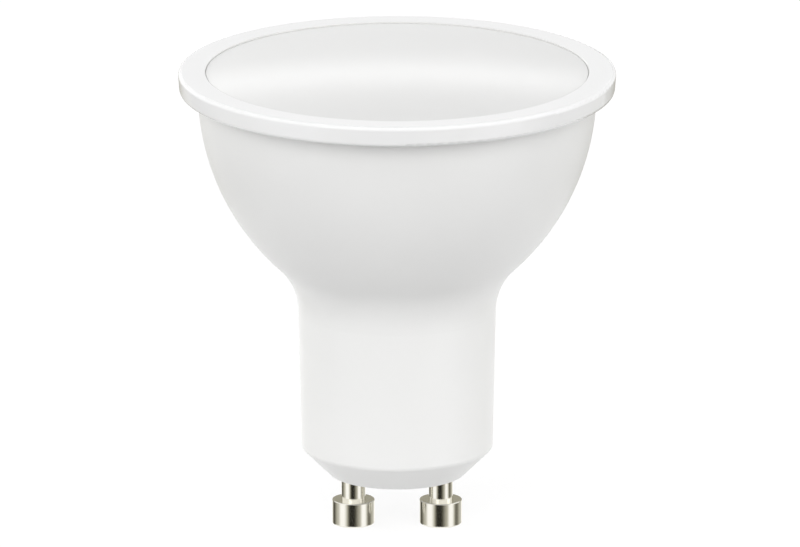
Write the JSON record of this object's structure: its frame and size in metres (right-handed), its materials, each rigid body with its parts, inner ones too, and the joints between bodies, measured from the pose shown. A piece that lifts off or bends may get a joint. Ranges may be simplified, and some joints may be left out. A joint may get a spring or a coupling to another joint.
{
  "type": "gu10 spotlight bulb",
  "caption": "Reflector-shaped LED spotlight bulb with a white cup housing, a frosted front disc in a glossy ring, and a twist-lock pin cap.",
  "frame": {"origin": "on the bulb's axis, at the tips of its two pins", "axes": "+Z along the bulb's axis, towards the light; the two pins lie along X"},
  "size_m": [0.05, 0.05, 0.0548],
  "materials": {
    "housing_plastic": "satin white moulding",
    "ring_plastic": "polished white moulding",
    "frosted_plastic": "fine-etched milk-white polycarbonate",
    "pin_nickel": "turned brass, bright nickel plate",
    "pressed_aluminium": "pressed, unpainted",
    "light_board": "white solder mask",
    "led_package": "white package with a yellow window",
    "screw_steel": "zinc plate",
    "circuit_board": "green solder mask",
    "package_black": "moulded epoxy",
    "resistor_coat": "cement coat",
    "can_aluminium": "sleeved aluminium can",
    "ferrite": "sintered",
    "copper_wire": "enamelled copper",
    "wire_sleeve": "silicone sleeve"
  },
  "bodies": {
    "root": {"housing": "housing_plastic", "heat_sink": "pressed_aluminium", "light_board": "light_board", "board_screws": "screw_steel", "front_ring": "ring_plastic", "diffuser": "frosted_plastic", "driver_board": "circuit_board", "bridge_rectifier": "package_black", "driver_chip": "package_black", "fuse_resistor": "resistor_coat", "input_capacitor": "can_aluminium", "output_capacitor": "can_aluminium", "inductor_core": "ferrite", "inductor_winding": "copper_wire", "pin_left": "pin_nickel", "pin_right": "pin_nickel", "wire_live": "wire_sleeve", "wire_neutral": "wire_sleeve", "wire_led_plus": "wire_sleeve", "wire_led_minus": "wire_sleeve", "led_1": "led_package", "led_2": "led_package", "led_3": "led_package", "led_4": "led_package", "led_5": "led_package", "led_6": "led_package", "led_7": "led_package", "led_8": "led_package"}
  },
  "joints": []
}
